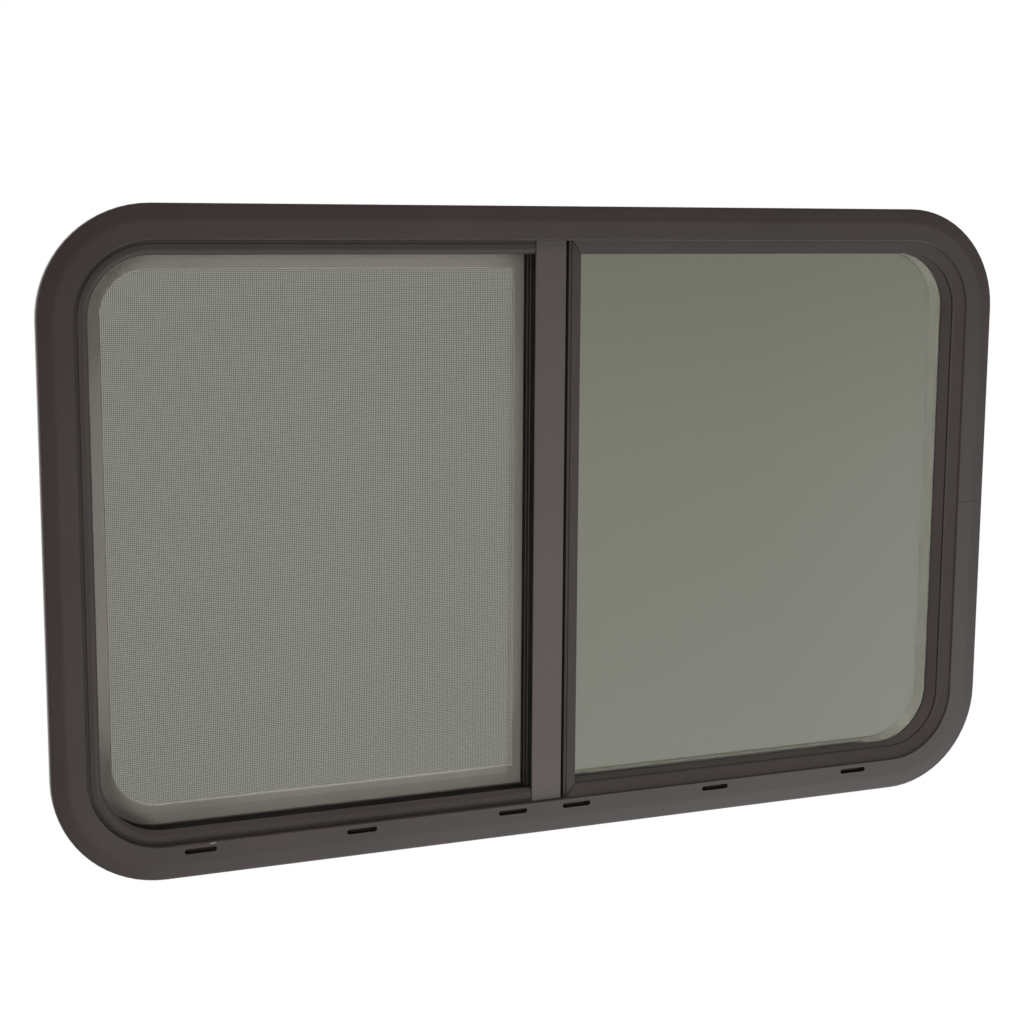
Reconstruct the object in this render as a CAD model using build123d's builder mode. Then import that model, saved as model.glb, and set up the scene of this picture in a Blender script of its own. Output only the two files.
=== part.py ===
from build123d import *
import os

# Caravan window with one sliding pane, one fixed pane and a fly screen.
# X runs across the window, Y from outdoors to indoors and Z up. The origin is the middle of
# the window on the outer skin of the wall, which the back of the flange bears on.
# Sections are drawn by their inset from the outer outline and their depth from that skin.

# Outline
window_width = 900.0
window_height = 560.0
corner_radius = 93.0

# Bent frame: a hollow flange outside, a wall through the cut-out and ribs for the panes
flange_width = 29.4
flange_proud = 8.0
flange_edge = 6.8
crown_run = 13.0
crown_blend = 36.0
flange_skin = 2.0
flange_back = 1.6
flange_inner_chamfer = 0.8
flange_rim_round = 2.2
frame_wall = 2.0
rib_thickness = 1.6
rib_reach = 39.4
seat_rib_depth = 2.0
seat_rib_short = 3.4
guide_rib_short = 3.0
end_rib_short = 2.4
joint_gap = 0.3

# Weep slots in the flange below the panes, three under each
slot_length = 27.5
slot_height = 4.5
slot_inset = 22.8
slot_places = (-328.0, -186.0, -44.0, 18.5, 161.0, 312.0)

# Panes
glass_thickness = 4.0
glass_inset = 33.0
fixed_glass_depth = 16.0
gasket_thickness = 1.0
gasket_width = 2.4
guide_wall = 2.1
running_clearance = 0.3
fit_clearance = 0.3

# Trim lips round both panes
lip_proud = 4.2
lip_thickness = 1.8
lip_leg = 1.8
lip_round = 1.2
bead_proud = 6.4
bead_gap = 0.15
bead_nose = 1.6
bead_chamfer = 0.9
rubber_line_width = 1.8
rubber_line_depth = 0.9
rubber_line_set = 0.2
surround_gap = 0.35
surround_thickness = 2.4
surround_round = 4.6
ledge_width = 1.7
ledge_drop = 0.6
groove_width = 1.2
groove_depth = 0.9
surround_reveal = 6.0
seal_clearance = 0.4
mitre_gap = 0.15
mitre_over = 0.2

# Mullion
mullion_centre = -10.5
mullion_width = 28.0
mullion_proud = 5.0
mullion_wall = 1.8
mullion_bead_gap = 3.4
mullion_side_recess = 2.0
seal_stand = 1.2
side_rib_depths = (8.0, 14.8)
side_rib_thickness = 0.8
pocket_depth = 14.0
glass_in_pocket = 11.5
pile_width = 6.0

# Fly screen
screen_thickness = 7.7
screen_inset = 34.0
screen_opening_left = 56.5
screen_opening_inset = 53.9
screen_right = -13.0
screen_right_member = 16.7
screen_rebate = 6.0
screen_lip = 3.7
screen_chamfer = 1.0
mesh_thickness = 0.4
spline_width = 3.0
spline_height = 2.6
screen_pull_size = (14.0, 60.0)
screen_pull_stand = 5.0

# Sliding pane's stile, with its finger pull and latch
pane_overlap = 14.0
stile_wall = 1.8
stile_grip = 14.0
stile_hook = 8.0
stile_end_clearance = 5.0
stile_pile_width = 6.0
latch_length = 46.0
latch_height = 7.0
latch_chamfer = 1.5
thumb_length = 18.0
thumb_height = 5.0

# Pale fillers in the tracks that stay empty behind the fixed pane
filler_over = 1.4
filler_nose = 1.0

# Small rubber pieces
stop_length = 8.0
stop_corner_gap = 2.7
setting_block_length = 60.0
setting_block_share = 0.3

# Inner clamp ring, which pulls the frame against the wall
wall_thickness = 32.0
ring_inset = 9.0
ring_thickness = 1.8
ring_lip_short = 1.5

# Worked out from the sizes above
half_width = window_width / 2
half_height = window_height / 2
seat_rib_reach = rib_reach - seat_rib_short
guide_rib_reach = rib_reach - guide_rib_short
end_rib_reach = rib_reach - end_rib_short
ring_lip_reach = end_rib_reach - ring_lip_short
lip_inset = rib_reach + lip_leg
stop_rib_depth = fixed_glass_depth + glass_thickness + gasket_thickness
slider_glass_depth = stop_rib_depth + rib_thickness + guide_wall + running_clearance
guide_rib_depth = slider_glass_depth + glass_thickness + running_clearance + guide_wall
screen_depth = guide_rib_depth + rib_thickness + fit_clearance
end_rib_depth = screen_depth + screen_thickness + fit_clearance
frame_depth = end_rib_depth + rib_thickness
guide_floor = glass_inset - running_clearance

mullion_left = mullion_centre - mullion_width / 2
mullion_right = mullion_centre + mullion_width / 2
mullion_core_left = mullion_left + mullion_side_recess
pocket_front = fixed_glass_depth - fit_clearance
pocket_back = fixed_glass_depth + glass_thickness + fit_clearance
mullion_back = pocket_back + mullion_wall
core_half = half_height - rib_reach - fit_clearance
plate_half = half_height - flange_width - fit_clearance

bead_inset = flange_width + bead_gap
bead_width = lip_inset - bead_inset
bead_left = mullion_right + mullion_bead_gap
bead_right = bead_left + bead_width
groove_left = bead_left + ledge_width
groove_right = groove_left + groove_width
bead_foot_right = bead_right - lip_leg - fit_clearance
surround_end = mullion_left - fit_clearance

fixed_glass_left = mullion_right - glass_in_pocket
slider_glass_right = fixed_glass_left + pane_overlap
slider_back = slider_glass_depth + glass_thickness
stile_half = half_height - rib_reach - stile_end_clearance
stop_right = half_width - corner_radius - stop_corner_gap
stop_left = stop_right - stop_length
screen_left = -half_width + screen_opening_left
screen_inner_right = screen_right - screen_right_member

os.makedirs("parts", exist_ok=True)


def depth_plane(depth):
    """The upright plane this deep in the wall, seen from outdoors; minus extrudes go indoors."""
    return Plane.XZ.offset(-depth)


def joint_plane():
    """Section plane at the frame's butt joint, halfway up the right jamb."""
    return Plane(origin=(half_width, 0, joint_gap / 2), x_dir=(-1, 0, 0), z_dir=(0, 0, 1))


def head_plane(start_x):
    """Section plane on the head, looking left along it."""
    return Plane(origin=(start_x, 0, half_height), x_dir=(0, 0, -1), z_dir=(-1, 0, 0))


def sill_plane(start_x):
    """Section plane on the sill, looking right along it."""
    return Plane(origin=(start_x, 0, -half_height), x_dir=(0, 0, 1), z_dir=(1, 0, 0))


def loop_path():
    """The whole outline, from one side of the butt joint round to the other."""
    with BuildLine(Plane.XZ) as path:
        FilletPolyline(
            (half_width, joint_gap / 2),
            (half_width, half_height),
            (-half_width, half_height),
            (-half_width, -half_height),
            (half_width, -half_height),
            (half_width, -joint_gap / 2),
            radius=corner_radius,
        )
    return path.wire()


def slider_side_path(end_x):
    """The outline along the head, the left jamb and the sill."""
    with BuildLine(Plane.XZ) as path:
        FilletPolyline(
            (end_x, half_height),
            (-half_width, half_height),
            (-half_width, -half_height),
            (end_x, -half_height),
            radius=corner_radius,
        )
    return path.wire()


def fixed_side_path(start_x):
    """The outline along the sill, the right jamb and the head."""
    with BuildLine(Plane.XZ) as path:
        FilletPolyline(
            (start_x, -half_height),
            (half_width, -half_height),
            (half_width, half_height),
            (start_x, half_height),
            radius=corner_radius,
        )
    return path.wire()


def bar(inset_from, inset_to, depth_from, depth_to, mode=Mode.ADD):
    """A rectangle in a section, between two insets and two depths."""
    with Locations(((inset_from + inset_to) / 2, -(depth_from + depth_to) / 2)):
        Rectangle(inset_to - inset_from, depth_to - depth_from, mode=mode)


def post_bar(x_from, x_to, depth_from, depth_to, mode=Mode.ADD):
    """A rectangle in the level section of an upright piece."""
    with Locations(((x_from + x_to) / 2, (depth_from + depth_to) / 2)):
        Rectangle(x_to - x_from, depth_to - depth_from, mode=mode)


def left_rounded(x_from, x_to, inset, mode=Mode.ADD):
    """A pane outline that follows the left corners of the frame and is square on the right."""
    with BuildSketch(mode=Mode.PRIVATE) as outline:
        with Locations(((x_from + x_to) / 2, 0)):
            Rectangle(x_to - x_from, window_height - 2 * inset)
        fillet(outline.vertices().group_by(Axis.X)[0], radius=corner_radius - inset)
    add(outline.sketch, mode=mode)


def mitre_cuts(corners):
    """A triangle to cut off at the head, and its mirror image at the sill."""
    with BuildSketch(Plane.XZ) as triangles:
        with BuildLine():
            Polyline(*corners, close=True)
        make_face()
        mirror(about=Plane.XZ)
    return triangles.sketch


# Outer frame: one bent aluminium length, butted halfway up the right jamb
with BuildPart() as outer_frame:
    with BuildSketch(joint_plane()) as frame_section:
        with BuildLine():
            Polyline(
                (0, 0),
                (0, flange_edge),
                (crown_run, flange_proud),
                (flange_width, flange_proud),
                (flange_width, 0),
                close=True,
            )
        make_face()
        rim = frame_section.vertices().group_by(Axis.X)[0].sort_by(Axis.Y)[-1]
        fillet(rim, radius=flange_rim_round)
        crease = frame_section.vertices().group_by(Axis.Y)[-1].sort_by(Axis.X)[0]
        fillet(crease, radius=crown_blend)
        inner_corner = frame_section.vertices().group_by(Axis.Y)[-1].sort_by(Axis.X)[-1]
        chamfer(inner_corner, length=flange_inner_chamfer)
        with BuildLine():
            Polyline(
                (flange_skin, flange_back),
                (flange_skin, flange_edge - flange_skin),
                (crown_run, flange_proud - flange_skin),
                (flange_width - frame_wall, flange_proud - flange_skin),
                (flange_width - frame_wall, flange_back),
                close=True,
            )
        make_face(mode=Mode.SUBTRACT)
        bar(flange_width - frame_wall, flange_width, 0, frame_depth)
        bar(flange_width, seat_rib_reach, seat_rib_depth, seat_rib_depth + rib_thickness)
        bar(flange_width, rib_reach, stop_rib_depth, stop_rib_depth + rib_thickness)
        bar(flange_width, guide_rib_reach, guide_rib_depth, guide_rib_depth + rib_thickness)
        bar(flange_width, end_rib_reach, end_rib_depth, frame_depth)
    sweep(path=loop_path())
    with BuildSketch(depth_plane(-flange_proud)):
        with Locations([(place, -half_height + slot_inset) for place in slot_places]):
            SlotOverall(slot_length, slot_height)
    extrude(amount=-(flange_proud + flange_skin - flange_back) / 2, mode=Mode.SUBTRACT)
outer_frame.part.label = "outer_frame"
export_step(outer_frame.part, "parts/outer_frame.step")

# Mullion: extruded post with a face plate, a pocket for the fixed pane and a bead foot
with BuildPart() as mullion:
    with BuildSketch(Plane.XY):
        post_bar(mullion_left, mullion_right, -mullion_proud, mullion_wall - mullion_proud)
        post_bar(mullion_core_left, mullion_core_left + mullion_wall, -mullion_proud, mullion_back)
        post_bar(mullion_right - mullion_wall, mullion_right, -mullion_proud, pocket_front)
        post_bar(mullion_core_left, mullion_right, pocket_front - mullion_wall, pocket_front)
        post_bar(mullion_core_left, mullion_right, pocket_back, mullion_back)
        post_bar(
            mullion_right - pocket_depth - mullion_wall,
            mullion_right - pocket_depth,
            pocket_front,
            pocket_back,
        )
        post_bar(mullion_right, bead_foot_right, seat_rib_depth, seat_rib_depth + rib_thickness)
        for rib_depth in side_rib_depths:
            post_bar(mullion_left, mullion_core_left, rib_depth, rib_depth + side_rib_thickness)
    extrude(amount=core_half, both=True)
    with BuildSketch(Plane.XY):
        post_bar(mullion_left, mullion_right, -mullion_proud, mullion_wall - mullion_proud)
    extrude(amount=plate_half, both=True)
mullion.part.label = "mullion"
export_step(mullion.part, "parts/mullion.step")

# Mullion seal: black rubber between the ribs of the mullion's left side, and a pile that
# wipes the sliding pane
seal_face = mullion_core_left - seal_stand
with BuildPart() as mullion_seal:
    with BuildSketch(Plane.XY):
        strip_start = mullion_wall - mullion_proud
        for rib_depth in side_rib_depths:
            post_bar(seal_face, mullion_core_left, strip_start, rib_depth)
            strip_start = rib_depth + side_rib_thickness
        post_bar(seal_face, mullion_core_left, strip_start, mullion_back)
        post_bar(seal_face, seal_face + pile_width, mullion_back, slider_glass_depth - seal_clearance)
    extrude(amount=core_half, both=True)
mullion_seal.part.label = "mullion_seal"
export_step(mullion_seal.part, "parts/mullion_seal.step")

# Fixed pane, with its rubber: a strip on the tip of the frame's stop rib, behind the pane, and a
# line in the groove behind the glazing bead's nose
with BuildPart() as fixed_glass:
    with BuildSketch(depth_plane(fixed_glass_depth)) as pane:
        left_rounded(-half_width + glass_inset, -fixed_glass_left, glass_inset)
        mirror(about=Plane.YZ, mode=Mode.REPLACE)
    extrude(amount=-glass_thickness)
fixed_glass.part.label = "fixed_glass"
export_step(fixed_glass.part, "parts/fixed_glass.step")

gasket_left = mullion_right + fit_clearance
rubber_line_left = bead_right + rubber_line_depth
rubber_line_front = bead_nose - lip_proud
rubber_line_back = rubber_line_front + rubber_line_width
with BuildPart() as fixed_glass_gasket:
    with BuildSketch(sill_plane(gasket_left)):
        bar(rib_reach - gasket_width, rib_reach, fixed_glass_depth + glass_thickness, stop_rib_depth)
    sweep(path=fixed_side_path(gasket_left))
    with BuildSketch(sill_plane(rubber_line_left)):
        bar(lip_inset - rubber_line_depth, lip_inset - rubber_line_set, rubber_line_front, rubber_line_back)
    sweep(path=fixed_side_path(rubber_line_left))
fixed_glass_gasket.part.label = "fixed_glass_gasket"
export_step(fixed_glass_gasket.part, "parts/fixed_glass_gasket.step")

# Setting blocks that carry the fixed pane on the frame's sill
fixed_sill_end = half_width - corner_radius
fixed_sill_middle = (fixed_glass_left + fixed_sill_end) / 2
block_spread = setting_block_share * (fixed_sill_end - fixed_glass_left)
with BuildPart() as setting_blocks:
    with BuildSketch(depth_plane(fixed_glass_depth)):
        for side in (-1, 1):
            with Locations((fixed_sill_middle + side * block_spread, -half_height + flange_width)):
                Rectangle(
                    setting_block_length, glass_inset - flange_width, align=(Align.CENTER, Align.MIN)
                )
    extrude(amount=-glass_thickness)
setting_blocks.part.label = "setting_blocks"
export_step(setting_blocks.part, "parts/setting_blocks.step")

# Glazing bead: holds the fixed pane along sill, right jamb and head, mitred to the mullion's bead
outer_mitre = half_height - bead_inset
inner_mitre = half_height - lip_inset
mitre_side = mitre_over * (bead_right - groove_right)
mitre_end = mitre_over * (outer_mitre - inner_mitre)
with BuildPart() as glazing_bead:
    with BuildSketch(sill_plane(groove_right)) as bead_section:
        with BuildLine():
            Polyline(
                (bead_inset, bead_proud),
                (lip_inset, lip_proud),
                (lip_inset, lip_proud - lip_thickness),
                (bead_inset, bead_proud - lip_thickness),
                close=True,
            )
        make_face()
        bar(bead_inset, bead_inset + lip_leg, lip_thickness / 2 - bead_proud, seat_rib_depth)
        bar(lip_inset - lip_leg, lip_inset, -lip_proud, fixed_glass_depth)
        chamfer(bead_section.vertices().group_by(Axis.X)[-1].sort_by(Axis.Y)[-1], length=bead_chamfer)
        bar(lip_inset - rubber_line_depth, lip_inset, rubber_line_front, rubber_line_back, Mode.SUBTRACT)
    sweep(path=fixed_side_path(groove_right))
    bead_ends = mitre_cuts(
        (
            (groove_right - mitre_side + mitre_gap, outer_mitre + mitre_end),
            (bead_right + mitre_side + mitre_gap, inner_mitre - mitre_end),
            (groove_right - mitre_side, inner_mitre - mitre_end),
        )
    )
    extrude(bead_ends, amount=frame_depth, both=True, mode=Mode.SUBTRACT)
glazing_bead.part.label = "glazing_bead"
export_step(glazing_bead.part, "parts/glazing_bead.step")

# Mullion bead: the upright fourth side of the glazing bead, with a ledge and a groove beside it
with BuildPart() as mullion_bead:
    with BuildSketch(Plane.XY) as post_section:
        post_bar(bead_left, bead_right, -lip_proud, surround_thickness - lip_proud)
        post_bar(bead_left, bead_left + lip_leg, -lip_proud, seat_rib_depth)
        post_bar(bead_right - lip_leg, bead_right, -lip_proud, fixed_glass_depth)
        fillet(post_section.vertices().group_by(Axis.Y)[0].sort_by(Axis.X)[-1], radius=lip_round)
        post_bar(bead_left, groove_left, -lip_proud, ledge_drop - lip_proud, Mode.SUBTRACT)
        post_bar(groove_left, groove_right, -lip_proud, groove_depth - lip_proud, Mode.SUBTRACT)
    extrude(amount=outer_mitre, both=True)
    post_ends = mitre_cuts(
        (
            (groove_right - mitre_side, outer_mitre + mitre_end),
            (bead_right + mitre_side, inner_mitre - mitre_end),
            (bead_right + mitre_side, outer_mitre + mitre_end),
        )
    )
    extrude(post_ends, amount=frame_depth, both=True, mode=Mode.SUBTRACT)
mullion_bead.part.label = "mullion_bead"
export_step(mullion_bead.part, "parts/mullion_bead.step")

# Slider surround: grooved trim lip along head, left jamb and sill, with its black rubber behind it
surround_inset = flange_width + surround_gap
groove_inset = surround_inset + ledge_width
groove_end = groove_inset + groove_width
surround_back = surround_reveal - lip_proud
with BuildPart() as slider_surround:
    with BuildSketch(head_plane(surround_end)) as surround_section:
        bar(surround_inset, lip_inset, -lip_proud, surround_thickness - lip_proud)
        bar(groove_end, groove_end + lip_leg, -lip_proud, seat_rib_depth)
        bar(lip_inset - lip_leg, lip_inset, -lip_proud, surround_back)
        lip_edge = surround_section.vertices().group_by(Axis.Y)[-1].sort_by(Axis.X)[-1]
        fillet(lip_edge, radius=surround_round)
        bar(surround_inset, groove_inset, -lip_proud, ledge_drop - lip_proud, Mode.SUBTRACT)
        bar(groove_inset, groove_end, -lip_proud, groove_depth - lip_proud, Mode.SUBTRACT)
    sweep(path=slider_side_path(surround_end))
slider_surround.part.label = "slider_surround"
export_step(slider_surround.part, "parts/slider_surround.step")

with BuildPart() as slider_surround_seal:
    with BuildSketch(head_plane(surround_end)):
        bar(rib_reach - lip_leg, rib_reach, surround_back - lip_leg, stop_rib_depth)
    sweep(path=slider_side_path(surround_end))
slider_surround_seal.part.label = "slider_surround_seal"
export_step(slider_surround_seal.part, "parts/slider_surround_seal.step")

# Run channel: the lined guide that the sliding pane runs in, and the stops at its end
track_front = stop_rib_depth + rib_thickness
with BuildPart() as run_channel:
    with BuildSketch(head_plane(stop_left)):
        bar(flange_width, rib_reach - fit_clearance, track_front, slider_glass_depth)
        bar(flange_width, guide_rib_reach - fit_clearance, track_front, guide_rib_depth)
        bar(
            guide_floor,
            rib_reach,
            slider_glass_depth - running_clearance,
            slider_back + running_clearance,
            mode=Mode.SUBTRACT,
        )
    sweep(path=slider_side_path(stop_left))
run_channel.part.label = "run_channel"
export_step(run_channel.part, "parts/run_channel.step")

with BuildPart() as travel_stops:
    with BuildSketch(depth_plane(track_front)):
        with Locations(((stop_left + stop_right) / 2, half_height - (flange_width + rib_reach) / 2)):
            Rectangle(stop_length, rib_reach - flange_width)
        mirror(about=Plane.XZ)
    extrude(amount=-(guide_rib_depth - track_front))
travel_stops.part.label = "travel_stops"
export_step(travel_stops.part, "parts/travel_stops.step")

# Sliding pane and what it carries
with BuildPart() as sliding_glass:
    with BuildSketch(depth_plane(slider_glass_depth)):
        left_rounded(-half_width + glass_inset, slider_glass_right, glass_inset)
    extrude(amount=-glass_thickness)
sliding_glass.part.label = "sliding_glass"
export_step(sliding_glass.part, "parts/sliding_glass.step")

stile_left = screen_right + stile_end_clearance
stile_edge = slider_glass_right + fit_clearance
stile_right = stile_edge + stile_wall
stile_back = slider_back + stile_grip
with BuildPart() as meeting_stile:
    with BuildSketch(Plane.XY):
        post_bar(stile_left, stile_right, slider_back, slider_back + stile_wall)
        post_bar(stile_edge, stile_right, slider_glass_depth, stile_back)
        post_bar(stile_right - stile_hook, stile_right, stile_back - stile_wall, stile_back)
    extrude(amount=stile_half, both=True)
meeting_stile.part.label = "meeting_stile"
export_step(meeting_stile.part, "parts/meeting_stile.step")

with BuildPart() as stile_pile:
    with BuildSketch(Plane.XY):
        post_bar(
            slider_glass_right - stile_pile_width,
            slider_glass_right,
            mullion_back + fit_clearance,
            slider_glass_depth,
        )
    extrude(amount=stile_half, both=True)
stile_pile.part.label = "stile_pile"
export_step(stile_pile.part, "parts/stile_pile.step")

latch_face = slider_back + stile_wall
latch_right = stile_right - stile_hook - fit_clearance
latch_width = latch_right - stile_left
with BuildPart() as slider_latch:
    with BuildSketch(depth_plane(latch_face)):
        with Locations(((stile_left + latch_right) / 2, 0)):
            Rectangle(latch_width, latch_length)
    extrude(amount=-latch_height)
    chamfer(slider_latch.edges().filter_by(Axis.Y), length=latch_chamfer)
    chamfer(slider_latch.faces().sort_by(Axis.Y)[-1].edges(), length=latch_chamfer / 2)
    with BuildSketch(depth_plane(latch_face + latch_height)):
        with Locations(((stile_left + latch_right) / 2, 0)):
            Rectangle(latch_width / 2, thumb_length)
    extrude(amount=-thumb_height, taper=6)
slider_latch.part.label = "slider_latch"
export_step(slider_latch.part, "parts/slider_latch.step")

# Fly screen: rolled frame with a rebate, the mesh on the rebate and the spline that holds it
rebate_inset = screen_opening_inset - screen_rebate
rebate_left = screen_left - screen_rebate
rebate_right = screen_inner_right + screen_rebate
mesh_depth = screen_depth + screen_lip
spline_outer = rebate_inset + fit_clearance
spline_inner = spline_outer + spline_width
with BuildPart() as screen_frame:
    with BuildSketch(depth_plane(screen_depth)):
        left_rounded(-half_width + screen_inset, screen_right, screen_inset)
        left_rounded(screen_left, screen_inner_right, screen_opening_inset, mode=Mode.SUBTRACT)
    extrude(amount=-screen_thickness)
    with BuildSketch(depth_plane(mesh_depth)):
        left_rounded(rebate_left, rebate_right, rebate_inset)
    extrude(amount=-screen_thickness, mode=Mode.SUBTRACT)
    opening_edges = screen_frame.faces().sort_by(Axis.Y)[0].inner_wires().edges()
    chamfer(opening_edges, length=screen_chamfer)
screen_frame.part.label = "screen_frame"
export_step(screen_frame.part, "parts/screen_frame.step")

with BuildPart() as screen_mesh:
    with BuildSketch(depth_plane(mesh_depth)):
        left_rounded(rebate_left + fit_clearance, rebate_right - fit_clearance, spline_outer)
    extrude(amount=-mesh_thickness)
screen_mesh.part.label = "screen_mesh"
export_step(screen_mesh.part, "parts/screen_mesh.step")

with BuildPart() as screen_spline:
    with BuildSketch(depth_plane(mesh_depth + mesh_thickness)):
        left_rounded(rebate_left + fit_clearance, rebate_right - fit_clearance, spline_outer)
        left_rounded(
            rebate_left + fit_clearance + spline_width,
            rebate_right - fit_clearance - spline_width,
            spline_inner,
            mode=Mode.SUBTRACT,
        )
    extrude(amount=-spline_height)
screen_spline.part.label = "screen_spline"
export_step(screen_spline.part, "parts/screen_spline.step")

pull_breadth, pull_length = screen_pull_size
pull_face = screen_depth + screen_thickness
with BuildPart() as screen_pull:
    with BuildSketch(depth_plane(pull_face)):
        with Locations((screen_right - pull_breadth / 2, 0)):
            Rectangle(pull_breadth - 2 * fit_clearance, pull_length)
    extrude(amount=-screen_pull_stand, taper=12)
    chamfer(screen_pull.faces().sort_by(Axis.Y)[-1].edges(), length=screen_chamfer)
screen_pull.part.label = "screen_pull"
export_step(screen_pull.part, "parts/screen_pull.step")

# Track fillers: pale strips that close the screen's track behind the fixed pane, and the sliding
# pane's track round the right jamb, with a nose over the tip of the stop rib
filler_left = screen_right + fit_clearance
filler_reach = end_rib_reach + filler_over
filler_back = screen_depth + screen_thickness
with BuildPart() as track_fillers:
    with BuildSketch(sill_plane(filler_left)):
        bar(flange_width, filler_reach, screen_depth, filler_back)
    sweep(path=fixed_side_path(filler_left))
    with BuildSketch(sill_plane(stop_right)):
        bar(flange_width, rib_reach, track_front, guide_rib_depth)
        bar(rib_reach, rib_reach + filler_nose, stop_rib_depth, guide_rib_depth)
    sweep(path=fixed_side_path(stop_right))
track_fillers.part.label = "track_fillers"
export_step(track_fillers.part, "parts/track_fillers.step")

# Clamp ring: bent inner trim that seats on the frame's end rib and on the inner face of the wall
ring_wall_inset = flange_width - frame_wall - fit_clearance
with BuildPart() as clamp_ring:
    with BuildSketch(joint_plane()) as ring_section:
        bar(ring_inset, ring_wall_inset, wall_thickness, wall_thickness + ring_thickness)
        bar(ring_wall_inset - ring_thickness, ring_wall_inset, wall_thickness, frame_depth + ring_thickness)
        bar(ring_wall_inset - ring_thickness, ring_lip_reach, frame_depth, frame_depth + ring_thickness)
    sweep(path=loop_path())
clamp_ring.part.label = "clamp_ring"
export_step(clamp_ring.part, "parts/clamp_ring.step")
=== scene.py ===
import math

import bmesh
import bpy
from mathutils import Matrix, Vector


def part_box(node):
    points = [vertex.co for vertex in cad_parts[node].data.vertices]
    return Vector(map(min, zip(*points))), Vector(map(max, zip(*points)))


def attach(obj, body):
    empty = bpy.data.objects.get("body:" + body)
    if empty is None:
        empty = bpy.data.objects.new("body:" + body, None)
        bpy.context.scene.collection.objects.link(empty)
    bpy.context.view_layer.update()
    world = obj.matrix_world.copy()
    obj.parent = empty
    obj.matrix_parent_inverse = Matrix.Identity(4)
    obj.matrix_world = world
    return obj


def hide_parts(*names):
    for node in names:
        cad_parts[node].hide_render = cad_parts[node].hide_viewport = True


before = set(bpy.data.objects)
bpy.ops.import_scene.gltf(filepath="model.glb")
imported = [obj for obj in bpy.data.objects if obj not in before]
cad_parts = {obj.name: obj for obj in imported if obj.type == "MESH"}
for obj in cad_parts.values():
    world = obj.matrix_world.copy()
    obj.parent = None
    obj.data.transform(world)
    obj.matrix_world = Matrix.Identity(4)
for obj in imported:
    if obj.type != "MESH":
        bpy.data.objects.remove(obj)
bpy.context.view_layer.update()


# Outer frame. One aluminium extrusion is bent round the window and butted halfway up the right
# jamb. It is powder coated in a dark bronze grey with a satin gloss and a very fine orange peel.
bronze_dark = (0.0172, 0.0125, 0.0112, 1)
bronze_light = (0.0212, 0.0154, 0.0139, 1)
coat_gloss = (0.30, 0.36)
coat_shine = 0.5
orange_peel_scale = 900
orange_peel_height = 0.00006
shade_scale = 7
shade_detail = 4.0
noise_low = 0.3
noise_high = 0.7


def new_finish(name):
    """A material, its node tree, its shader and the piece's own coordinates."""
    finish = bpy.data.materials.new(name)
    finish.use_nodes = True
    tree = finish.node_tree
    place = tree.nodes.new("ShaderNodeTexCoord").outputs["Object"]
    return finish, tree, tree.nodes["Principled BSDF"], place


def noise(tree, place, scale, detail=2.0):
    """Even speckle over the piece, from 0 to 1."""
    node = tree.nodes.new("ShaderNodeTexNoise")
    node.inputs["Scale"].default_value = scale
    node.inputs["Detail"].default_value = detail
    tree.links.new(place, node.inputs["Vector"])
    return node.outputs["Fac"]


def between(tree, share, dark, light):
    """A colour between two, by a share that mostly lies from noise_low to noise_high."""
    node = tree.nodes.new("ShaderNodeValToRGB")
    node.color_ramp.elements[0].position = noise_low
    node.color_ramp.elements[1].position = noise_high
    node.color_ramp.elements[0].color = dark
    node.color_ramp.elements[1].color = light
    tree.links.new(share, node.inputs["Fac"])
    return node.outputs["Color"]


def spread(tree, share, low, high):
    """A number between two, by a share that mostly lies from noise_low to noise_high."""
    node = tree.nodes.new("ShaderNodeMapRange")
    node.inputs["From Min"].default_value = noise_low
    node.inputs["From Max"].default_value = noise_high
    node.inputs["To Min"].default_value = low
    node.inputs["To Max"].default_value = high
    tree.links.new(share, node.inputs["Value"])
    return node.outputs["Result"]


def relief(tree, shader, height, distance):
    """Gives the shader a fine relief of that height, in metres."""
    node = tree.nodes.new("ShaderNodeBump")
    node.inputs["Distance"].default_value = distance
    tree.links.new(height, node.inputs["Height"])
    tree.links.new(node.outputs["Normal"], shader.inputs["Normal"])


def powder_coat(name, dark, light, gloss=coat_gloss, shine=coat_shine):
    """Satin powder coat with slow changes of shade and orange peel."""
    finish, tree, shader, place = new_finish(name)
    shader.inputs["Specular IOR Level"].default_value = shine
    shade = noise(tree, place, shade_scale, shade_detail)
    tree.links.new(between(tree, shade, dark, light), shader.inputs["Base Color"])
    peel = noise(tree, place, orange_peel_scale)
    tree.links.new(spread(tree, peel, *gloss), shader.inputs["Roughness"])
    relief(tree, shader, peel, orange_peel_height)
    return finish


def dress(node, finish):
    """Gives a piece of the frame its finish."""
    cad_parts[node].material_slots[0].material = finish


bronze_coat = powder_coat("bronze_powder_coat", bronze_dark, bronze_light)
dress("outer_frame", bronze_coat)

# a chip in the paint shows bare metal at the flange's inner edge, over the first weep slot
fleck_place = Vector((-0.3176, -0.008, -0.2521))
fleck_thickness = 0.00002
fleck_colour = (0.12, 0.115, 0.11, 1)
fleck_gloss = (0.4, 0.6)
scratch_scale = 3000
fleck_outline = (
    (-0.0030, -0.0002),
    (-0.0012, -0.0007),
    (0.0016, -0.0004),
    (0.0031, 0.0003),
    (0.0014, 0.0006),
    (-0.0009, 0.0005),
)


def add_piece(name, shape, finish, body):
    """Makes a finished piece from a shape and lets it ride on a body."""
    mesh = bpy.data.meshes.new(name)
    shape.to_mesh(mesh)
    shape.free()
    mesh.materials.append(finish)
    piece = bpy.data.objects.new(name, mesh)
    bpy.context.scene.collection.objects.link(piece)
    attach(piece, body)
    return piece


def verts_of(items):
    """The vertices among what an operator gives back."""
    return [item for item in items if isinstance(item, bmesh.types.BMVert)]


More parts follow.
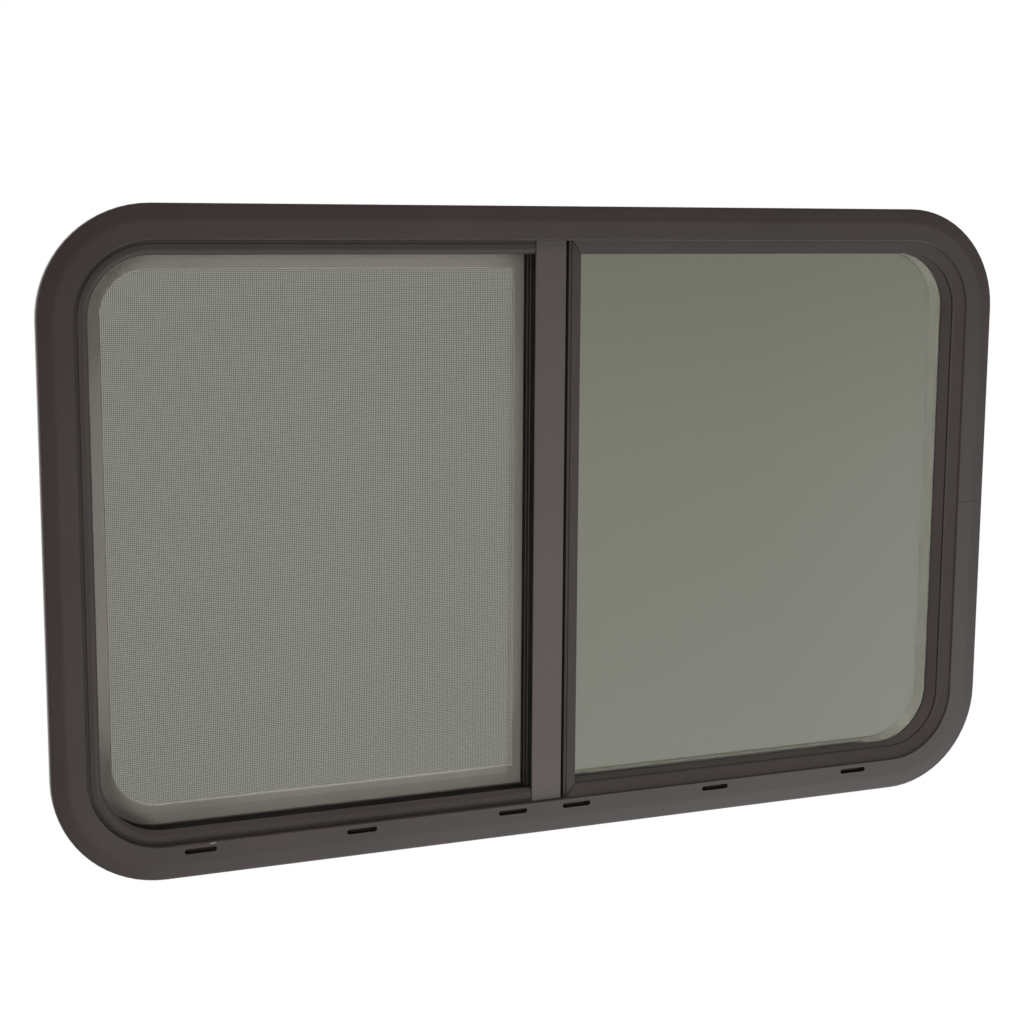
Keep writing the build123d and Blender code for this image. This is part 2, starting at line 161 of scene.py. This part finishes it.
def bare_metal(name):
    """Scratched bare aluminium."""
    finish, tree, shader, place = new_finish(name)
    shader.inputs["Base Color"].default_value = fleck_colour
    scratches = noise(tree, place, scratch_scale)
    tree.links.new(spread(tree, scratches, *fleck_gloss), shader.inputs["Roughness"])
    return finish


fleck = bmesh.new()
rim = [fleck.verts.new(fleck_place + Vector((x, 0, z))) for x, z in fleck_outline]
bottom = fleck.faces.new(rim)
raised = bmesh.ops.extrude_face_region(fleck, geom=[bottom])["geom"]
bmesh.ops.translate(fleck, verts=verts_of(raised), vec=(0, -fleck_thickness, 0))
bmesh.ops.recalc_face_normals(fleck, faces=fleck.faces)
add_piece("paint_fleck", fleck, bare_metal("bare_aluminium"), "frame")


# Mullion. An upright extrusion between the panes, from the same paint line as the frame. Its colour is
# the frame's paint made about twice as light, painted light for a flat face that shows a shade lighter.
lit_mullion_dark = (0.0345, 0.0270, 0.0250, 1)
lit_mullion_light = (0.0388, 0.0304, 0.0282, 1)
lit_mullion_coat = powder_coat("mullion_coat_painted_lighter", lit_mullion_dark, lit_mullion_light)
dress("mullion", lit_mullion_coat)


# Trim lips. The slider's surround, the glazing bead and the mullion's bead are slimmer extrusions
# that snap into the frame. Their paint is flatter than the frame's and shines less.
trim_dark = (0.0262, 0.0212, 0.0200, 1)
trim_light = (0.0303, 0.0245, 0.0231, 1)
trim_gloss = (0.42, 0.50)
trim_shine = 0.22
trim_coat = powder_coat("trim_powder_coat", trim_dark, trim_light, trim_gloss, trim_shine)
for trim in ("slider_surround", "glazing_bead", "mullion_bead"):
    dress(trim, trim_coat)


# Rubber. Black extruded seals stand beside the mullion and behind the lips, with a gasket and two
# setting blocks under the fixed pane, and round cord in the screen. They are dull and faintly dusty.
rubber_black = (0.0025, 0.0025, 0.0025, 1)
rubber_dusty = (0.0060, 0.0060, 0.0057, 1)
rubber_shine = 0.1
dust_scale = 60
dust_detail = 5.0
rubber_grain_scale = 1400
rubber_grain_height = 0.00008
rubber_gloss = (0.55, 0.75)


def rubber(name):
    """Dull rubber with fine grain and a little dust."""
    finish, tree, shader, place = new_finish(name)
    dust = noise(tree, place, dust_scale, dust_detail)
    tree.links.new(between(tree, dust, rubber_black, rubber_dusty), shader.inputs["Base Color"])
    grain = noise(tree, place, rubber_grain_scale)
    tree.links.new(spread(tree, grain, *rubber_gloss), shader.inputs["Roughness"])
    relief(tree, shader, grain, rubber_grain_height)
    shader.inputs["Specular IOR Level"].default_value = rubber_shine
    return finish


seal_rubber = rubber("seal_rubber")
seals = ("mullion_seal", "slider_surround_seal", "fixed_glass_gasket", "setting_blocks")
for seal in seals + ("screen_spline",):
    dress(seal, seal_rubber)


# Panes. Toughened glass, 4 mm thick and tinted grey with a hint of olive. The fixed pane is bedded on
# a gasket, and the sliding one, paler and less shiny, runs in a channel. Light from the lamps passes
# through both, so that what is behind them is lit.
fixed_tint = (0.139, 0.140, 0.1055, 1)
sliding_tint = (0.308, 0.309, 0.264, 1)
fixed_bends = 1.58
sliding_bends = 1.30


def tinted_glass(name, tint, bends):
    """Clear tinted glass that lets the lamps shine through."""
    finish, tree, shader, _ = new_finish(name)
    shader.inputs["Base Color"].default_value = tint
    shader.inputs["Transmission Weight"].default_value = 1.0
    shader.inputs["Roughness"].default_value = 0.0
    shader.inputs["IOR"].default_value = bends
    clear = tree.nodes.new("ShaderNodeBsdfTransparent")
    ray = tree.nodes.new("ShaderNodeLightPath")
    either = tree.nodes.new("ShaderNodeMixShader")
    tree.links.new(ray.outputs["Is Shadow Ray"], either.inputs["Fac"])
    tree.links.new(shader.outputs["BSDF"], either.inputs[1])
    tree.links.new(clear.outputs["BSDF"], either.inputs[2])
    tree.links.new(either.outputs["Shader"], tree.nodes["Material Output"].inputs["Surface"])
    return finish


dress("fixed_glass", tinted_glass("fixed_pane_glass", fixed_tint, fixed_bends))
dress("sliding_glass", tinted_glass("sliding_pane_glass", sliding_tint, sliding_bends))


# Run channel and weather pile. The sliding pane runs in a flocked rubber channel, and a strip of
# woven pile on its stile brushes the mullion. Both are short black fibres on a dull ground.
fibre_black = (0.003, 0.003, 0.003, 1)
fibre_grey = (0.010, 0.010, 0.0095, 1)
fibre_scale = 2600
fibre_detail = 3.0
fibre_height = 0.0003
fibre_roughness = 0.95
fibre_shine = 0.1


def fibres(name):
    """Short dull fibres."""
    finish, tree, shader, place = new_finish(name)
    nap = noise(tree, place, fibre_scale, fibre_detail)
    tree.links.new(between(tree, nap, fibre_black, fibre_grey), shader.inputs["Base Color"])
    relief(tree, shader, nap, fibre_height)
    shader.inputs["Roughness"].default_value = fibre_roughness
    shader.inputs["Specular IOR Level"].default_value = fibre_shine
    return finish


dress("run_channel", fibres("flocked_lining"))
dress("stile_pile", fibres("weather_pile"))


# Meeting stile. The sliding pane's right edge is capped by a slim extrusion with a hooked finger
# pull, in the same paint as the frame.
dress("meeting_stile", bronze_coat)


# Latch and screen pull. Both are moulded in black plastic with a fine spark-eroded grain, and the
# latch's thumb piece has raised grip ribs.
plastic_black = (0.010, 0.010, 0.010, 1)
plastic_worn = (0.016, 0.016, 0.0155, 1)
plastic_gloss = (0.38, 0.5)
wear_scale = 90
wear_detail = 4.0
plastic_grain_scale = 2200
plastic_grain_height = 0.00006
grip_ribs = 5
grip_rib_pitch = 0.003
grip_rib_length = 0.0056
grip_rib_thickness = 0.0012
grip_rib_stand = 0.0007
grip_rib_bevel = 0.0003
grip_rib_segments = 2


def moulded_plastic(name):
    """Black moulded plastic with an eroded grain."""
    finish, tree, shader, place = new_finish(name)
    wear = noise(tree, place, wear_scale, wear_detail)
    tree.links.new(between(tree, wear, plastic_black, plastic_worn), shader.inputs["Base Color"])
    grain = noise(tree, place, plastic_grain_scale)
    tree.links.new(spread(tree, grain, *plastic_gloss), shader.inputs["Roughness"])
    relief(tree, shader, grain, plastic_grain_height)
    return finish


def add_block(shape, low, high):
    """Adds a block between two corners and gives back its vertices."""
    size = high - low
    place = Matrix.Translation((low + high) / 2) @ Matrix.Diagonal((*size, 1))
    return bmesh.ops.create_cube(shape, size=1, matrix=place)["verts"]


black_plastic = moulded_plastic("black_plastic")
dress("slider_latch", black_plastic)
latch_low, latch_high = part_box("slider_latch")
latch_middle = (latch_low + latch_high) / 2
grip = bmesh.new()
for index in range(grip_ribs):
    x = latch_middle.x
    z = latch_middle.z + (index - (grip_ribs - 1) / 2) * grip_rib_pitch
    add_block(
        grip,
        Vector((x - grip_rib_length / 2, latch_high.y, z - grip_rib_thickness / 2)),
        Vector((x + grip_rib_length / 2, latch_high.y + grip_rib_stand, z + grip_rib_thickness / 2)),
    )
bmesh.ops.bevel(
    grip,
    geom=grip.edges,
    offset=grip_rib_bevel,
    segments=grip_rib_segments,
    affect="EDGES",
    profile=0.5,
    material=-1,
)
add_piece("latch_grip", grip, black_plastic, "slider")
dress("screen_pull", black_plastic)


# Screen frame. A rolled aluminium strip frame in a pale warm grey, clipped in behind the sliding
# pane's way. It shows through the glass as a light border round the mesh.
screen_dark = (0.602, 0.548, 0.568, 1)
screen_light = (0.665, 0.606, 0.626, 1)
screen_gloss = (0.4, 0.5)
screen_coat = powder_coat("screen_powder_coat", screen_dark, screen_light, screen_gloss)
dress("screen_frame", screen_coat)


# Fly screen. Coated glass-fibre threads cross at a pitch of 1.6 mm, stretched into the frame's
# rebate by the rubber cord. The threads lie in two layers that touch where they cross.
thread_pitch = 0.0016
thread_width = 0.00028
thread_dark = (0.030, 0.030, 0.029, 1)
thread_light = (0.050, 0.050, 0.048, 1)
thread_shade_scale = 25
thread_shade_detail = 3.0
thread_grain_scale = 1800
thread_gloss = (0.5, 0.65)


def coated_thread():
    """Grey vinyl-coated thread."""
    finish, tree, shader, place = new_finish("coated_thread")
    shade = noise(tree, place, thread_shade_scale, thread_shade_detail)
    tree.links.new(between(tree, shade, thread_dark, thread_light), shader.inputs["Base Color"])
    grain = noise(tree, place, thread_grain_scale)
    tree.links.new(spread(tree, grain, *thread_gloss), shader.inputs["Roughness"])
    return finish


mesh_low, mesh_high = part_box("screen_mesh")
outer_low, outer_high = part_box("outer_frame")
frame_corner_radius = 0.093
mesh_corner_radius = frame_corner_radius - (outer_high.z - mesh_high.z)
mesh_half_height = (mesh_high.z - mesh_low.z) / 2
mesh_middle_depth = (mesh_low.y + mesh_high.y) / 2


def corner_cut(distance):
    """How far a thread stops short of the edge, that far into a rounded corner."""
    return mesh_corner_radius - math.sqrt(mesh_corner_radius**2 - distance**2)


screen_threads = bmesh.new()
upright_count = int((mesh_high.x - mesh_low.x) / thread_pitch)
for index in range(1, upright_count):
    x = mesh_low.x + index * thread_pitch
    into_corner = max(0.0, mesh_corner_radius - (x - mesh_low.x))
    reach = mesh_half_height - corner_cut(into_corner)
    add_block(
        screen_threads,
        Vector((x - thread_width / 2, mesh_middle_depth, -reach)),
        Vector((x + thread_width / 2, mesh_middle_depth + thread_width, reach)),
    )
level_count = int(mesh_half_height / thread_pitch)
for index in range(-level_count, level_count + 1):
    z = index * thread_pitch
    into_corner = max(0.0, abs(z) - (mesh_half_height - mesh_corner_radius))
    start = mesh_low.x + corner_cut(into_corner)
    add_block(
        screen_threads,
        Vector((start, mesh_middle_depth - thread_width, z - thread_width / 2)),
        Vector((mesh_high.x, mesh_middle_depth, z + thread_width / 2)),
    )
fly_screen = add_piece("fly_screen", screen_threads, coated_thread(), "frame")
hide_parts("screen_mesh")


# Track fillers and stops. White extruded strips close the empty tracks behind the fixed pane, so that
# its edge looks clear, and two white blocks stop the sliding pane at the end of its way.
white_dark = (0.80, 0.79, 0.88, 1)
white_light = (0.86, 0.85, 0.94, 1)
white_gloss = (0.45, 0.55)
scuff_scale = 40
scuff_detail = 4.0


def extruded_plastic(name):
    """White satin extruded plastic with faint scuffs."""
    finish, tree, shader, place = new_finish(name)
    scuffs = noise(tree, place, scuff_scale, scuff_detail)
    tree.links.new(between(tree, scuffs, white_dark, white_light), shader.inputs["Base Color"])
    tree.links.new(spread(tree, scuffs, *white_gloss), shader.inputs["Roughness"])
    return finish


white_plastic = extruded_plastic("white_plastic")
dress("track_fillers", white_plastic)
dress("travel_stops", white_plastic)


# Clamp ring. A bent inner trim in the frame's paint, drawn towards the frame by pan-head screws
# through the wall.
ring_gloss = (0.32, 0.4)
ring_coat = powder_coat("ring_powder_coat", bronze_dark, bronze_light, ring_gloss)
dress("clamp_ring", ring_coat)

# pan-head screws with a cross recess, on the ring's flat flange
screw_inset = 0.017
ring_face = 0.0338
head_screw_places = (-0.33, -0.198, -0.066, 0.066, 0.198, 0.33)
left_screw_places = (-0.14, 0.0, 0.14)
right_screw_places = (-0.14, -0.045, 0.045, 0.14)
screw_profile = (
    (0.0036, 0.0),
    (0.0036, 0.0004),
    (0.0033, 0.0012),
    (0.0026, 0.0018),
    (0.0022, 0.0020),
)
screw_facets = 24
recess_arm = 0.0015
recess_cells = 3
recess_half = recess_arm / recess_cells
recess_depth = 0.0011
recess_draft = 0.8


def pan_head(shape):
    """One screw head on the ring's face at the window's middle, its recess towards indoors."""
    foot = Matrix.Translation((0, ring_face, 0))
    top = screw_profile[-1][1]
    profile = [shape.verts.new(foot @ Vector((radius, height, 0))) for radius, height in screw_profile]
    line = [shape.edges.new(pair) for pair in zip(profile, profile[1:])]
    bmesh.ops.spin(
        shape,
        geom=profile + line,
        cent=foot.translation,
        axis=(0, 1, 0),
        angle=math.tau,
        steps=screw_facets,
        use_merge=True,
    )
    for face in shape.faces:
        face.smooth = True
    rims = [edge for edge in shape.edges if edge.is_boundary]
    middle = ring_face + top / 2
    bmesh.ops.contextual_create(shape, geom=[edge for edge in rims if edge.verts[0].co.y < middle])
    upper_rim = [edge for edge in rims if edge.verts[0].co.y > middle]
    lie_flat = foot @ Matrix.Translation((0, top, 0)) @ Matrix.Rotation(math.pi / 2, 4, "X")
    square = bmesh.ops.create_grid(
        shape, x_segments=recess_cells, y_segments=recess_cells, size=recess_arm, matrix=lie_flat
    )
    cells = {face for vert in square["verts"] for face in vert.link_faces}
    corners = []
    for face in cells:
        place = face.calc_center_median()
        if abs(place.x) > recess_half and abs(place.z) > recess_half:
            corners.append(face)
    bmesh.ops.delete(shape, geom=corners, context="FACES")
    cross = [face for face in cells if face.is_valid]
    cross_rim = [edge for face in cross for edge in face.edges if edge.is_boundary]
    bmesh.ops.bridge_loops(shape, edges=upper_rim + cross_rim)
    sunk = verts_of(bmesh.ops.extrude_face_region(shape, geom=cross)["geom"])
    bmesh.ops.scale(shape, verts=sunk, vec=(recess_draft, 1, recess_draft))
    bmesh.ops.translate(shape, verts=sunk, vec=(0, -recess_depth, 0))


screw_levels = (outer_low.z + screw_inset, outer_high.z - screw_inset)
screw_places = [(x, z) for x in head_screw_places for z in screw_levels]
screw_places += [(outer_low.x + screw_inset, z) for z in left_screw_places]
screw_places += [(outer_high.x - screw_inset, z) for z in right_screw_places]
screws = bmesh.new()
pan_head(screws)
first_screw = list(screws.verts) + list(screws.edges) + list(screws.faces)
for x, z in screw_places[1:]:
    copy = bmesh.ops.duplicate(screws, geom=first_screw)["geom"]
    bmesh.ops.translate(screws, verts=verts_of(copy), vec=(x, 0, z))
first_x, first_z = screw_places[0]
bmesh.ops.translate(screws, verts=verts_of(first_screw), vec=(first_x, 0, first_z))
bmesh.ops.recalc_face_normals(screws, faces=screws.faces)
add_piece("ring_screws", screws, ring_coat, "frame")


# Studio. A pale floor well below the window and a plain white surround, lit by six soft boxes that
# don't mirror in paint or glass. The side behind the camera is dim above and bright below, as a white
# floor in a dark room gives it.
floor_level = -1.1
floor_front = 0.6
floor_back = 9.0
floor_side = 9.0
floor_white = (0.85, 0.85, 0.85, 1)
floor_roughness = 0.9


def calculate(tree, operation, first, second):
    """One sum on two numbers, each a socket or a plain value."""
    node = tree.nodes.new("ShaderNodeMath")
    node.operation = operation
    for socket, value in zip(node.inputs, (first, second)):
        if isinstance(value, (int, float)):
            socket.default_value = value
        else:
            tree.links.new(value, socket)
    return node.outputs["Value"]


floor_shape = bmesh.new()
for x, y in ((-1, floor_front), (1, floor_front), (1, floor_back), (-1, floor_back)):
    floor_shape.verts.new((x * floor_side, y, floor_level))
floor_shape.faces.new(floor_shape.verts)
floor_mesh = bpy.data.meshes.new("studio_floor")
floor_shape.to_mesh(floor_mesh)
floor_shape.free()
studio_floor = bpy.data.objects.new("studio_floor", floor_mesh)
bpy.context.scene.collection.objects.link(studio_floor)
floor_paint, floor_tree, floor_shader, _ = new_finish("floor_paint")
floor_shader.inputs["Base Color"].default_value = floor_white
floor_shader.inputs["Roughness"].default_value = floor_roughness
seamless = floor_tree.nodes.new("ShaderNodeEmission")
floor_mix = floor_tree.nodes.new("ShaderNodeMixShader")
ray = floor_tree.nodes.new("ShaderNodeLightPath")
in_view = calculate(floor_tree, "MAXIMUM", ray.outputs["Is Camera Ray"], ray.outputs["Is Transmission Ray"])
in_view = calculate(floor_tree, "MAXIMUM", in_view, ray.outputs["Is Glossy Ray"])
floor_tree.links.new(in_view, floor_mix.inputs["Fac"])
floor_tree.links.new(floor_shader.outputs["BSDF"], floor_mix.inputs[1])
floor_tree.links.new(seamless.outputs["Emission"], floor_mix.inputs[2])
floor_tree.links.new(floor_mix.outputs["Shader"], floor_tree.nodes["Material Output"].inputs["Surface"])
floor_mesh.materials.append(floor_paint)

# brightness of the surround by height and by side, and behind the window by height, and how far to
# either side of the window's plane one fades into the other
front_by_height = (
    (-1.0, 1.4),
    (-0.45, 1.4),
    (-0.30, 1.3),
    (-0.12, 0.92),
    (0.01, 0.36),
    (0.14, 0.1),
    (1.0, 0.1),
)
front_by_side = (
    (-1.0, 0.7),
    (-0.85, 0.25),
    (-0.5, 0.14),
    (-0.05, 0.1),
    (0.16, 0.6),
    (0.28, 1.2),
    (0.42, 1.45),
    (0.5, 1.55),
    (0.6, 1.95),
    (0.68, 1.1),
    (1.0, 0.4),
)
back_by_height = ((-1.0, 1.0), (0.25, 1.0), (0.6, 0.3), (1.0, 0.2))
front_to_back_fade = 0.15


def graph(tree, value, stops):
    """A brightness that follows straight lines between stops from -1 to 1."""
    share = tree.nodes.new("ShaderNodeMapRange")
    share.inputs["From Min"].default_value = -1
    tree.links.new(value, share.inputs["Value"])
    ramp = tree.nodes.new("ShaderNodeValToRGB")
    elements = ramp.color_ramp.elements
    while len(elements) < len(stops):
        elements.new(0.5)
    for element, (place, brightness) in zip(elements, stops):
        element.position = (place + 1) / 2
        element.color = (brightness, brightness, brightness, 1)
    tree.links.new(share.outputs["Result"], ramp.inputs["Fac"])
    return ramp.outputs["Color"]


world = bpy.data.worlds.new("studio")
bpy.context.scene.world = world
world.use_nodes = True
sky = world.node_tree
direction = sky.nodes.new("ShaderNodeSeparateXYZ")
sky.links.new(sky.nodes.new("ShaderNodeTexCoord").outputs["Generated"], direction.inputs["Vector"])
by_height = graph(sky, direction.outputs["Z"], front_by_height)
by_side = graph(sky, direction.outputs["X"], front_by_side)
front = calculate(sky, "MULTIPLY", by_height, by_side)
side = sky.nodes.new("ShaderNodeMapRange")
side.interpolation_type = "SMOOTHSTEP"
side.inputs["From Min"].default_value = -front_to_back_fade
side.inputs["From Max"].default_value = front_to_back_fade
sky.links.new(direction.outputs["Y"], side.inputs["Value"])
level = sky.nodes.new("ShaderNodeMix")
level.data_type = "FLOAT"
sky.links.new(side.outputs["Result"], level.inputs["Factor"])
sky.links.new(front, level.inputs["A"])
sky.links.new(graph(sky, direction.outputs["Z"], back_by_height), level.inputs["B"])

# the camera sees plain white round the window and through its panes
less_than_one_bounce = 0.5
sight = sky.nodes.new("ShaderNodeLightPath")
undiffused = calculate(sky, "LESS_THAN", sight.outputs["Diffuse Depth"], less_than_one_bounce)
through_pane = calculate(sky, "MULTIPLY", sight.outputs["Is Transmission Ray"], undiffused)
in_sight = calculate(sky, "MAXIMUM", sight.outputs["Is Camera Ray"], through_pane)
backdrop = sky.nodes.new("ShaderNodeMix")
backdrop.data_type = "FLOAT"
backdrop.inputs["B"].default_value = 1
sky.links.new(in_sight, backdrop.inputs["Factor"])
sky.links.new(level.outputs["Result"], backdrop.inputs["A"])
sky.links.new(backdrop.outputs["Result"], sky.nodes["Background"].inputs["Strength"])
sky.nodes["Background"].inputs["Color"].default_value = (1, 1, 1, 1)


def soft_light(name, place, size, power):
    """A square soft box that points at the window's middle and isn't seen in paint or glass."""
    lamp = bpy.data.lights.new(name, "AREA")
    lamp.shape = "SQUARE"
    lamp.size = size
    lamp.energy = power
    light = bpy.data.objects.new(name, lamp)
    light.location = place
    light.rotation_euler = (-Vector(place)).to_track_quat("-Z", "Y").to_euler()
    light.visible_glossy = False
    light.visible_transmission = False
    bpy.context.scene.collection.objects.link(light)


soft_light("right_light", (3.2, -0.8, -0.5), 1.6, 24)
soft_light("left_light", (-3.35, -0.6, 0.3), 1.6, 110)
soft_light("front_light", (-1.9, -2.7, 0.3), 0.8, 50)
soft_light("low_light", (0.2, -1.2, -2.75), 1.2, 105)
soft_light("high_light", (0.1, -0.75, 3.0), 1.2, 140)
soft_light("back_light", (-3.3, 1.0, 0.2), 1.6, 124)


# Camera. It stands outdoors, left of the window and a little above its middle, and looks slightly
# down at it through a long lens.
image_width = 1024
sensor_width = 36
focal_pixels = 1883
camera_place = Vector((-0.6695, -1.5110, 0.2713))
camera_aim = Vector((-0.0438, 0.0, 0.0142))
camera_roll = math.radians(0.38)

camera_lens = bpy.data.cameras.new("camera")
camera_lens.sensor_width = sensor_width
camera_lens.lens = focal_pixels / image_width * sensor_width
camera = bpy.data.objects.new("camera", camera_lens)
turn = (camera_aim - camera_place).to_track_quat("-Z", "Y").to_matrix().to_4x4()
camera.matrix_world = Matrix.Translation(camera_place) @ turn @ Matrix.Rotation(camera_roll, 4, "Z")
bpy.context.scene.collection.objects.link(camera)
bpy.context.scene.camera = camera
bpy.context.scene.view_settings.view_transform = "Standard"
